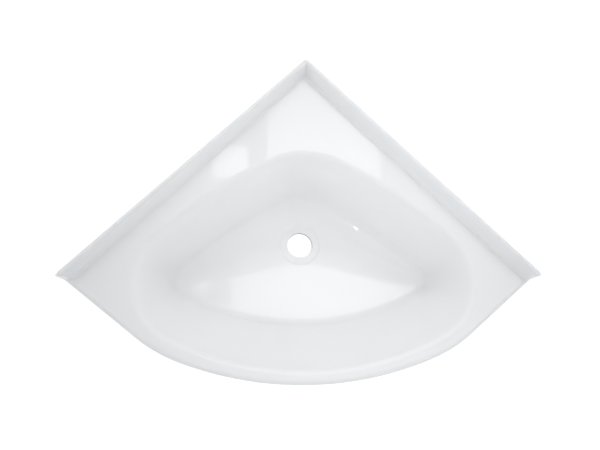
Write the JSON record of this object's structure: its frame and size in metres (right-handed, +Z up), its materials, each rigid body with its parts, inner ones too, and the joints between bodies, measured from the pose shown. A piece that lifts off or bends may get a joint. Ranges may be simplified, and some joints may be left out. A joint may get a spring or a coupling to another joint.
{
  "type": "corner basin",
  "caption": "Corner wash basin shell with a rounded triangular bowl, low upstands along both walls, a bowed front and an open waste hole.",
  "frame": {"origin": "centre of the waste hole, level with the waste seat in the floor of the bowl", "axes": "+Z up, +Y towards the corner of the room, +X to the right seen from the bowed front; the part is symmetric about X = 0"},
  "size_m": [0.5726, 0.4091, 0.1402],
  "materials": {
    "white_acrylic": "high gloss, vacuum-formed acrylic-capped ABS sheet",
    "plywood": "raw birch plywood, square sawn edges",
    "grey_abs": "plain ABS sheet, matt",
    "zinc_steel": "bright zinc-plated steel",
    "screw_zinc": "zinc-plated pan-head screws"
  },
  "bodies": {
    "root": {"basin_shell": "white_acrylic", "left_wall_rail": "plywood", "right_wall_rail": "plywood", "corner_board": "plywood", "waste_doubler_ring": "grey_abs", "left_back_bracket": "zinc_steel", "left_front_bracket": "zinc_steel", "right_back_bracket": "zinc_steel", "right_front_bracket": "zinc_steel", "bracket_screws": "screw_zinc"}
  },
  "joints": []
}
